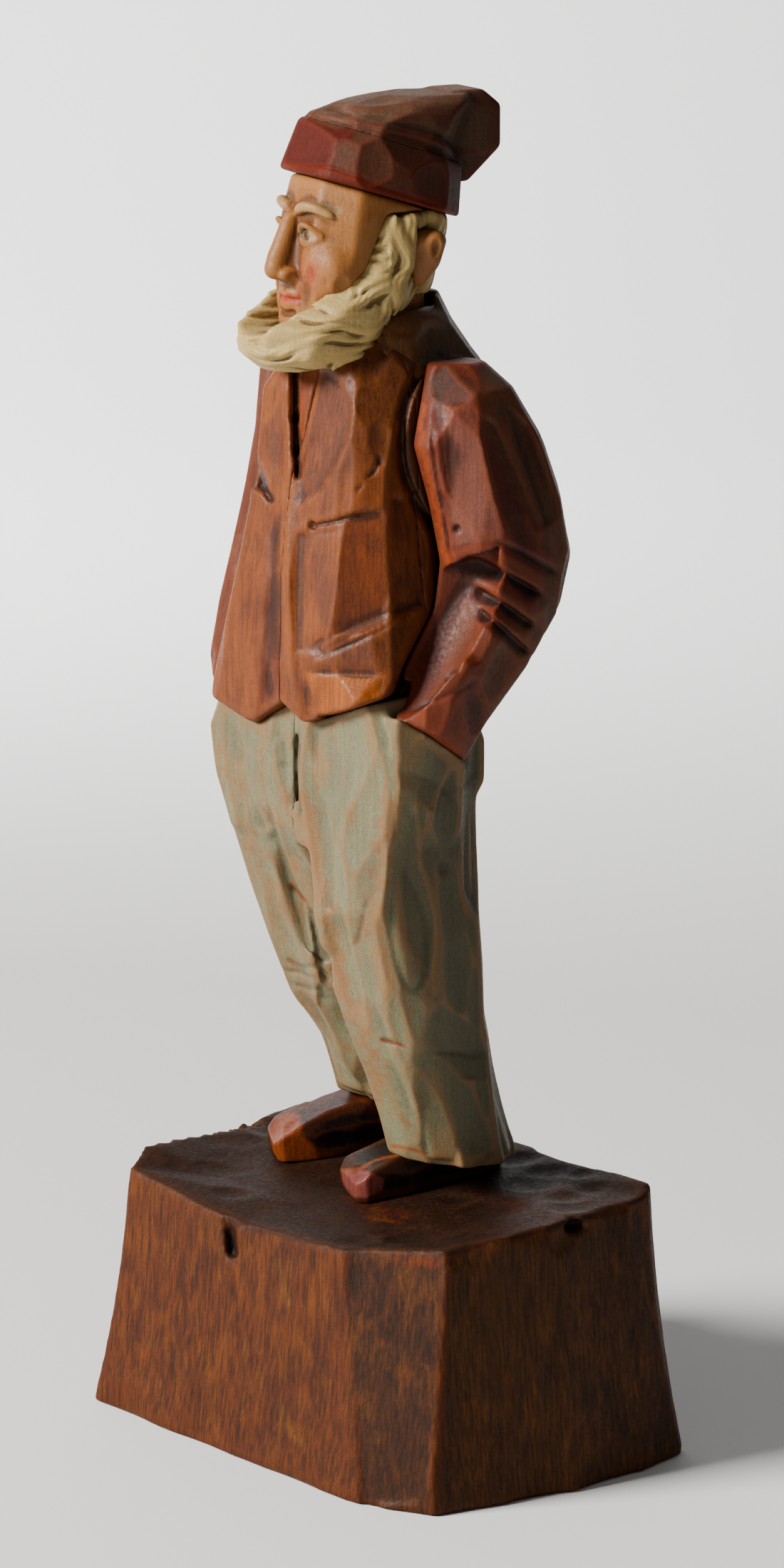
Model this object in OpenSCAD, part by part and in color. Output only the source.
// Carved and painted wooden figurine of an old fellow in a cap and waistcoat.
// The figure faces -Y, with its left hand side at +X, and stands on +Z.
// Every mass is a loft through sections, each a rectangle with cut corners.

/* [Overall] */
// Height of the whole carving over its drawn height
figure_scale = 1; // [0.9:0.05:1.1]

/* [Plinth] */
// Length of the plinth's underside, from side to side
plinth_w = 80; // [74:1:86]
// Depth of the plinth's underside, from front to back
plinth_d = 52.4; // [48:0.2:58]
// Height of the plinth where the figure stands
plinth_h = 39; // [37:0.5:40]
// How much narrower the plinth's top is, on each side
plinth_flare = 3.6; // [2:0.2:5]

/* [Shoes] */
// Length of each shoe
shoe_l = 24; // [22:0.5:28]
// Width of each shoe
shoe_w = 10; // [8:0.5:11]
// How far both feet are turned to the figure's right, in degrees
shoe_turn = 22; // [5:1:25]
// How much further round the right foot is turned, in degrees
right_shoe_turn = 11; // [0:1:15]

/* [Cap and head] */
// How far the head is turned to the figure's right, in degrees
head_turn = 15; // [0:1:25]

/* [Hidden] */
far = 200;
wood = "peru";
stain = "saddlebrown";
skin = "burlywood";
grey = "darkseagreen";
red = "brown";
cream = "cornsilk";
mid_x = -2.6;
stand_slope = 0.14;
shoe_at = [[3.6, 3.8], [-16.4, 6.8]];
head_at = [-1, -2.3, 0];

// ---------- geometry helpers ----------

// A section is [z, cx, cy, half width, front depth, back depth, corner cut].
// Its outline has 12 points: two at each cut corner, and one proud of each side.
function outline(s, proud = 0.07) =
    let (w = s[3], f = s[4], b = s[5], c = min(s[6], f - 0.4, b - 0.4))
    [[w * (1 + proud), 0], [w, b - c], [w - c, b], [0, b * (1 + proud)],
     [c - w, b], [-w, b - c], [-w * (1 + proud), 0], [-w, c - f],
     [c - w, -f], [0, -f * (1 + proud)], [w - c, -f], [w, c - f]];

function ring(s, proud = 0.07) =
    let (t = len(s) > 7 ? s[7] : 0)
    [for (p = outline(s, proud))
        [s[1] + p[0] * cos(t) - p[1] * sin(t), s[2] + p[0] * sin(t) + p[1] * cos(t), s[0]]];

// Closed solid through rings that all have the same number of points.
module loft(rings) {
    n = len(rings[0]);
    m = len(rings);
    sides = [for (j = [0:m - 2], i = [0:n - 1]) let (k = (i + 1) % n)
        each [[j * n + i, (j + 1) * n + i, (j + 1) * n + k], [j * n + i, (j + 1) * n + k, j * n + k]]];
    bottom = [[for (i = [0:n - 1]) i]];
    top = [[for (i = [n - 1:-1:0]) (m - 1) * n + i]];
    polyhedron([for (r = rings, p = r) p], concat(bottom, sides, top));
}

module mass(sections, proud = 0.07) loft([for (s = sections) ring(s, proud)]);

// Half of all space on the side that n points to, through p: what a straight knife cut leaves.
module side_of(p, n) {
    translate(p)
        rotate([0, acos(n[2] / norm(n)), atan2(n[1], n[0])])
            translate([-far / 2, -far / 2, 0]) cube(far);
}

module knife(p, n) difference() {
    children();
    side_of(p, n);
}

// ---------- plinth ----------

// Underside corners, from the front right corner round by the left hand side of the figure.
function plinth_under() =
    let (x = plinth_w / 2, y = plinth_d / 2)
    [[x - 7.2, 4.4 - y], [x - 0.6, 0], [x, y - 4], [x - 3.6, y], [0, y], [3.5 - x, y], [-x, y - 5],
     [-x, 0], [-x, 3.4 - y], [1.6 - x, 0.3 - y], [-8, -y], [x - 16.4, -y]];

// How far each top corner stands in from the underside corner below it, and its height.
function plinth_top() =
    let (f = plinth_flare, h = plinth_h, u = plinth_under(),
        inset = [[-2, 5.2], [-f - 0.4, 2], [-f - 0.9, -f + 0.4], [-f, -f - 0.2], [0, -f - 0.4],
            [f + 0.2, -f - 0.4], [f, -f - 0.4], [f, 0], [f - 1.2, 7], [f + 0.2, f + 0.9],
            [-1, f + 0.1], [-7.5, f + 0.2]],
        rise = [-0.6, 0.8, 1.2, 2.4, 2.4, 1.9, 1.2, 0.6, 0.6, -1.7, -4.3, -2.6])
    [for (i = [0:11]) [u[i][0] + inset[i][0], u[i][1] + inset[i][1], h + rise[i]]];

function plinth_ring(t) =
    let (lo = plinth_under(), hi = plinth_top(), u = min(1, t + 0.64 * t * (1 - t)))
    [for (i = [0:11])
        [lo[i][0] + (hi[i][0] - lo[i][0]) * u, lo[i][1] + (hi[i][1] - lo[i][1]) * u, hi[i][2] * t]];

// The top falls gently to the front. This is its height at depth y.
function stand_z(y) = plinth_h - 0.6 + stand_slope * y;

module plinth() color(stain) {
    base = [for (t = [0, 0.2, 0.4, 0.6, 0.8, 1]) plinth_ring(t)];
    stand = [for (p = plinth_top()) [p[0] * 0.66, p[1] * 0.64 + 1, stand_z(p[1] * 0.64 + 1)]];
    loft(concat(base, [stand]));
}

// ---------- shoes ----------

module shoe(at, instep, extra = 0) {
    l = shoe_l;
    w = shoe_w / 2;
    side = [[0.3, 0], [0.3, 3.4], [1.8, 4.6], [9, instep], [l - 8, instep + 1], [l - 1, 5.5],
        [l, 0]];
    plan = [[0, -w * 0.62], [1.6, -w * 0.9], [9, -w], [l - 3, -w * 0.8], [l, -w * 0.4],
        [l, w * 0.4], [l - 3, w * 0.8], [9, w], [1.6, w * 0.9], [0, w * 0.62]];
    translate([at[0], at[1], stand_z(at[1])])
        rotate([atan(stand_slope), 0, 0]) rotate(90 - shoe_turn - extra) translate([-l / 2, 0, 0])
            intersection() {
                rotate([90, 0, 0]) linear_extrude(shoe_w, center = true) polygon(side);
                linear_extrude(20) polygon(plan);
                hull() {
                    translate([0, -w, 0]) cube([l, 2 * w, 3.5]);
                    translate([1, -w * 0.45, 0]) cube([l - 2, w * 0.9, 12]);
                }
            }
}

module left_shoe() color(stain) shoe(shoe_at[0], 6.6);
module right_shoe() color(stain) shoe(shoe_at[1], 7.2, right_shoe_turn);

// ---------- trousers ----------

left_leg = [[39, 9.8, 4.6, 8, 8.6, 8.8, 3.4], [45, 9.8, 3.8, 8.2, 8.2, 8.8, 3.4],
    [51, 9.7, 1.6, 8.2, 7.8, 8.8, 3.4], [58, 9.7, -0.8, 8.2, 8, 8.7, 3.2],
    [67, 9.3, -3.6, 8.7, 8.8, 8.9, 2.8], [75, 9.1, -5, 9.2, 9.4, 9.3, 2.4],
    [83, 8.7, -6.1, 9.3, 9.6, 9.7, 2.2], [94, 8.2, -7, 9.2, 9.2, 10.4, 1.8],
    [101, 8, -7.2, 9, 8.8, 10.4, 1.8]];

right_leg = [[45, -10.4, 11.5, 7.6, 8, 8, 3.4], [50, -10.4, 10, 7.6, 7.9, 8, 3.4],
    [58, -10, 7.2, 7.6, 8.2, 8.2, 3.4], [66, -10.4, 3, 8.2, 8.8, 9, 3.2],
    [75, -10.6, -0.2, 8.8, 9, 9.4, 3], [83, -10.8, -2.4, 9.4, 9, 10, 2.4],
    [94, -11.2, -5.8, 9.2, 9, 10.4, 1.8], [101, -12, -7, 9.4, 8.6, 10.4, 1.8]];

hips = [[92, -1.4, -6.8, 18, 8.4, 10.4, 1.8], [99.6, -2.2, -7.4, 19, 8.8, 11, 1.6],
    [101.6, -2.4, -7.5, 19.2, 8.8, 12.6, 1.6], [108, -3, -7.4, 19.8, 8.9, 12.6, 1.6],
    [118, -2.2, -7.2, 16, 8.8, 9.6, 2.4]];

module left_leg_mass() knife([10, -3, 44.8], [0, -0.1, -1]) mass(left_leg);
module right_leg_mass() knife([-11, 4, 48.5], [0, -0.3, -1]) mass(right_leg);

// The cloth over the hand in each pocket. The mouth of the pocket slants down to the back.
left_pocket = [[93, 11.4, -7, 6, 7, 7, 2], [101, 14.4, -7, 5.4, 7.2, 6, 2],
    [107, 16.2, -6.8, 5, 7.4, 5.4, 2], [112, 17.9, -5.6, 5.5, 8.7, 6, 2.2],
    [118, 18.6, -4, 5.8, 10, 7, 2.6]];
right_pocket = [[93, -13, -7, 5.6, 6.6, 7, 2], [101, -17.4, -7.2, 5.2, 6.8, 5.4, 2],
    [107, -20.2, -7.2, 5.2, 6.8, 5.6, 2], [112, -21.2, -6.2, 5.4, 7.2, 6, 2.2],
    [118, -21.6, -5, 5.6, 8, 6.6, 2.4]];
mouth_at = [0, -8.5, 109.9];
mouth_tilt = 0.72;
module pocket(v) knife(mouth_at, [0, mouth_tilt, 1])
    knife([v[0][1] > 0 ? 18.6 : -22.8, -14.4, 104], [v[0][1] > 0 ? 0.85 : -0.85, -0.53, 0]) mass(v);

module hips_mass() {
    mass(hips);
    pocket(left_pocket);
    pocket(right_pocket);
}

// The trousers are in two halves, which meet at the fly, the crotch and the seat.
module left_half_mass() {
    left_leg_mass();
    intersection() {
        hips_mass();
        left_of_middle();
    }
}

module left_trouser_half() color(grey) difference() {
    left_half_mass();
    torso_mass();
    fly_cut();
    shoe(shoe_at[0], 6.6);
}

module right_trouser_half() color(grey) difference() {
    union() {
        right_leg_mass();
        difference() {
            hips_mass();
            left_of_middle();
        }
    }
    left_half_mass();
    torso_mass();
    fly_cut();
    shoe(shoe_at[1], 7.2, right_shoe_turn);
}

module fly_cut() hull() {
    translate([mid_x, -15.4, 97]) cube([0.1, 1, 16]);
    translate([mid_x + 0.9, -18.5, 97]) cube([0.1, 1, 17]);
    translate([mid_x - 0.9, -18.5, 99]) cube([0.1, 1, 15]);
}

// ---------- waistcoat and shirt ----------

torso = [[106, -2.6, -7.4, 19.6, 10.2, 12.6, 2.6], [114, -2.4, -7.4, 18.8, 10.6, 11.4, 3],
    [122, -2.1, -7, 17, 11.4, 10.8, 3.8], [131, -1.9, -6.4, 15.4, 11.4, 11.4, 4.2],
    [141, -1.7, -5.4, 14.3, 10.8, 12.4, 4.2], [151, -1.6, -4.4, 14.1, 10.8, 13.4, 4],
    [158, -1.4, -3.5, 13.6, 10.8, 13.6, 4.2], [162, -1.2, -2.6, 11.8, 10.4, 12.6, 5],
    [166, -1, -1.6, 9, 9.6, 10.4, 4.6]];

// The hem falls to a point on each side of the middle, and rises towards the hips.
module hem_cut() {
    rotate([90, 0, 0]) linear_extrude(40) polygon([[-40, 116], [-23, 112.6], [mid_x - 7, 109.2],
        [mid_x, 113.6], [mid_x + 4.6, 111.2], [17.6, 117], [40, 122], [40, 80], [-40, 80]]);
    translate([-40, -0.1, 80]) cube([80, 40, 31.5]);
}

module torso_mass() difference() {
    mass(torso);
    hem_cut();
}

// The open neck of the waistcoat, a long V.
module neck_opening() hull() {
    translate([mid_x - 0.1, -24, 147]) cube([0.4, 9, 0.4]);
    translate([mid_x - 2.6, -24, 170]) cube([6, 14, 1]);
}

module front_half() translate([-far / 2, -far - 6, 0]) cube([far, far, far]);
module left_of_middle() translate([mid_x + 0.04, -far / 2, 0]) cube([far, far, far]);

module vest_front() difference() {
    intersection() {
        torso_mass();
        front_half();
    }
    neck_opening();
    shirt_slit();
    collar_mass();
    arms_mass();
    neck_mass();
}

module vest_left_front() color(wood) intersection() {
    vest_front();
    left_of_middle();
}

module vest_right_front() color(wood) difference() {
    vest_front();
    left_of_middle();
}

module vest_back() color(wood) difference() {
    torso_mass();
    front_half();
    collar_mass();
    arms_mass();
    neck_mass();
}

module shirt_front() color(red) difference() {
    intersection() {
        mass([for (s = torso) [s[0], s[1], s[2], s[3] - 1.2, s[4] - 1.2, s[5], s[6]]]);
        neck_opening();
        front_half();
    }
    collar_mass();
    neck_mass();
    arms_mass();
    shirt_slit();
}

module shirt_slit() hull() {
    translate([mid_x - 0.1, -20, 144]) cube([0.2, 6, 0.2]);
    translate([mid_x - 0.6, -20, 166]) cube([1.2, 6, 1]);
}

// Sits over the back of the neck and the shoulders, and ends in a blunt point at each side.
collar = [[160.4, -1, 0.5, 12.6, 7.5, 12.6, 5], [163, -1, 0.5, 11.6, 7.5, 10.8, 5],
    [167.5, -1, 0.4, 9.4, 7, 8, 4], [171.7, -1, 0, 7.6, 6, 6.4, 3]];
module collar_mass() difference() {
    mass(collar);
    side_of([-1, -7.7, 166], [0, -1, 0.25]);
}
// The clean hollow inside the collar, a little wider than the neck and the jaw.
module collar_hollow() mass([[158, -1.1, -1, 8.7, 14, 5.8, 3], [174, -1.1, -1, 9.1, 14, 5.6, 3]]);
module vest_collar() color(wood) difference() {
    collar_mass();
    collar_hollow();
    beard_mass();
}

// ---------- sleeves ----------

left_arm = [[163, 13.4, 0.6, 3.4, 3.6, 4, 1.6], [159.5, 16, 0.8, 5.4, 5.8, 6, 2.4],
    [152, 17.6, 1.5, 7.2, 9.6, 9.4, 4], [143.5, 19, 3.4, 7.2, 9.9, 10, 4],
    [135, 19.6, 5.2, 7, 10.2, 9.8, 4]];
left_fore = [[135, 19.6, 5.2, 7, 10.2, 9.8, 4], [128, 19.8, 3.4, 6.8, 10, 9.6, 4],
    [120, 19.2, -0.6, 6, 11, 7.6, 3], [112, 18.2, -5, 4.7, 8.2, 5.2, 2.2],
    [106, 16.2, -6.8, 4.2, 6.8, 4.6, 1.8]];
right_arm = [[163, -15, 0.2, 3.4, 3.6, 4, 1.6], [159.5, -17.6, -0.2, 5.4, 6.4, 6, 2.4],
    [150, -19.4, 1.8, 6.6, 7.6, 9, 3.4], [141, -20.8, 2.2, 6.9, 8.6, 9.4, 3.4],
    [132, -21.8, 0.6, 6.9, 8.6, 9, 3.2]];
right_fore = [[132, -21.8, 0.6, 6.9, 8.6, 9, 3.2], [124, -22.6, -1.8, 6.7, 8, 8.4, 3],
    [116, -22.2, -5, 5.9, 7.4, 7, 2.6], [109, -20.6, -7, 4.8, 6, 5.2, 2.2],
    [106, -20, -7.2, 4.4, 5.8, 4.8, 2]];

function reversed(v) = [for (i = [len(v) - 1:-1:0]) v[i]];

module upper_mass(v) mass(reversed(v));
module fore_mass(v) knife(mouth_at, [0, -mouth_tilt, -1]) mass(reversed(v));
module arms_mass() {
    upper_mass(left_arm);
    fore_mass(left_fore);
    upper_mass(right_arm);
    fore_mass(right_fore);
}

module left_sleeve() color(red) difference() {
    union() {
        upper_mass(left_arm);
        fore_mass(left_fore);
    }
    collar_mass();
    hips_mass();
}
module right_sleeve() color(red) difference() {
    union() {
        upper_mass(right_arm);
        fore_mass(right_fore);
    }
    collar_mass();
    hips_mass();
}

// ---------- head ----------

// The head's own frame: its axis at the origin, facing -Y.
module on_head() translate(head_at) rotate(-head_turn) children();

skull = [[162.5, 0, -1, 6, 8.5, 4, 3], [166, 0, -1.4, 8, 11, 5.6, 4], [171, 0, -1, 9.2, 11.8, 5.8, 4.2],
    [177, 0, -0.6, 9.8, 11.8, 6.8, 4.4], [183, 0, 0, 10, 11.6, 8.2, 4.4],
    [189, 0, 0.4, 9.4, 10.6, 9, 4.4], [194, 0, 0.8, 7, 8, 8, 4]];
module head_mass() on_head() mass(skull);
module neck_mass() mass([[157, -1.1, -1, 6.3, 4.3, 5.7, 2.3], [173, -1.1, -1, 6.5, 4.3, 5.3, 2.3]]);

module neck() color(skin) difference() {
    neck_mass();
    head_mass();
    beard_mass();
}

module nose_mass() on_head() hull() {
    translate([-1, -12.6, 180]) cube([2, 2, 2]);
    translate([-1.1, -15.6, 174.6]) cube([2.2, 4, 1.6]);
    translate([-2.4, -13.2, 173.8]) cube([4.8, 2.4, 1.6]);
}

module head() color(skin) difference() {
    union() {
        head_mass();
        nose_mass();
    }
    above_cap_edge();
    beard_mass();
    ears_mass();
    hair_mass();
}

module ear_mass(side) on_head() translate([side * 10.6, 3.6, 177.6]) rotate([10, 0, 0]) hull() {
    translate([-side * 1.4, -0.4, 2]) scale([1, 1.25, 1]) sphere(r = 2, $fn = 14);
    translate([-side * 1.6, -1, -2.8]) sphere(r = 1.4, $fn = 12);
    translate([side * 0.8, 1.4, 2.2]) sphere(r = 1.5, $fn = 12);
    translate([side * 0.2, 0.6, -0.6]) sphere(r = 1.2, $fn = 12);
}
module ears_mass() {
    ear_mass(1);
    ear_mass(-1);
}
module left_ear() color(skin) difference() {
    ear_mass(1);
    above_cap_edge();
}
module right_ear() color(skin) difference() {
    ear_mass(-1);
    above_cap_edge();
}

module hair_mass() on_head() difference() {
    mass([[168.5, 0, 1, 6.6, 3, 5, 3], [172, 0, 1, 8.4, 3, 5.6, 3.2], [178, 0, 1, 9.8, 3, 6.8, 3.8],
        [190, 0, 1, 10.4, 3, 9.4, 3.8]]);
    translate([-far / 2, 4.2 - far, 0]) cube([far, far, far]);
}
module hair() color(cream) difference() {
    hair_mass();
    above_cap_edge();
    ears_mass();
    collar_mass();
    neck_mass();
}

// Chin curtain: a thick roll from ear to ear under the jaw, with the chin left bare inside it.
module beard_mass() on_head() difference() {
    mass([[161.6, 0, -6.5, 6.5, 10, 4, 4], [164, 0, -6.4, 9, 13, 6, 5], [168, 0, -4.4, 10.8, 14.6, 6, 6],
        [171.5, 0, -1, 11.2, 12, 4.4, 5], [176, 0, 1, 11.2, 7, 2.6, 3],
        [184, 0, 1.8, 10.8, 4.4, 1.8, 1]]);
    hull() {
        translate([-8.2, -30, 182]) cube([16.4, 30, 20]);
        translate([-7, -30, 173]) cube([14, 27, 20]);
        translate([-4, -24, 167]) cube([8, 12, 4]);
    }
}
module beard() color(cream) difference() {
    beard_mass();
    above_cap_edge();
    ears_mass();
    hair_mass();
    inner_skull();
}
module inner_skull() on_head() mass([for (s = skull) [s[0], s[1], s[2] + 1, s[3] - 3, s[4] - 3, s[5] - 3, 2]]);

// ---------- cap ----------

// The band is level across the head and falls towards the back.
band = [[181.5, 0, 0.4, 11, 11.6, 10.4, 4.6], [189, 0, 0.4, 11.4, 12, 10.8, 4.8],
    [196, 0, 1.2, 9.6, 10.4, 9.8, 4.4], [199, 0, 1.2, 8, 8.6, 9, 4]];
module band_mass() on_head() difference() {
    mass(band);
    side_of([0, -12, 189.4], [0, -0.31, -1]);
    side_of([0, -11.5, 197.6], [0, 0.34, 1]);
}
crown = [[184, 0, 0.6, 9.6, 10, 9.4, 4], [194, 0, 1, 9.8, 10.2, 10, 4.4],
    [197.2, 0, 2, 9, 9.8, 11.2, 4.4], [198.7, 0, 4.6, 7.6, 8.8, 11, 4.4], [199.8, 0, 8, 5.4, 6, 8, 3.6]];
module crown_mass() on_head() difference() {
    mass(crown);
    side_of([0, -11.5, 197.6], [0, -0.34, -1]);
}
module tail_mass() on_head() hull() {
    translate([-5.6, 8, 191]) cube([11.2, 2, 7.3]);
    translate([-5, 16.2, 192]) cube([10, 2.2, 6]);
    translate([-4, 11, 199.4]) cube([8, 5, 0.8]);
    translate([-3.6, 11.4, 187]) cube([7.2, 2.4, 3]);
}
// Everything above the underside of the band.
module above_cap_edge() on_head() side_of([0, -12, 189.4], [0, 0.31, 1]);

module cap_band() color(red) band_mass();
module cap_crown() color(red) difference() {
    union() {
        crown_mass();
        tail_mass();
    }
    band_mass();
}

scale(figure_scale) {
    plinth();
    left_shoe();
    right_shoe();
    left_trouser_half();
    right_trouser_half();
    vest_left_front();
    vest_right_front();
    vest_back();
    vest_collar();
    shirt_front();
    left_sleeve();
    right_sleeve();
    neck();
    head();
    left_ear();
    right_ear();
    hair();
    beard();
    cap_band();
    cap_crown();
}
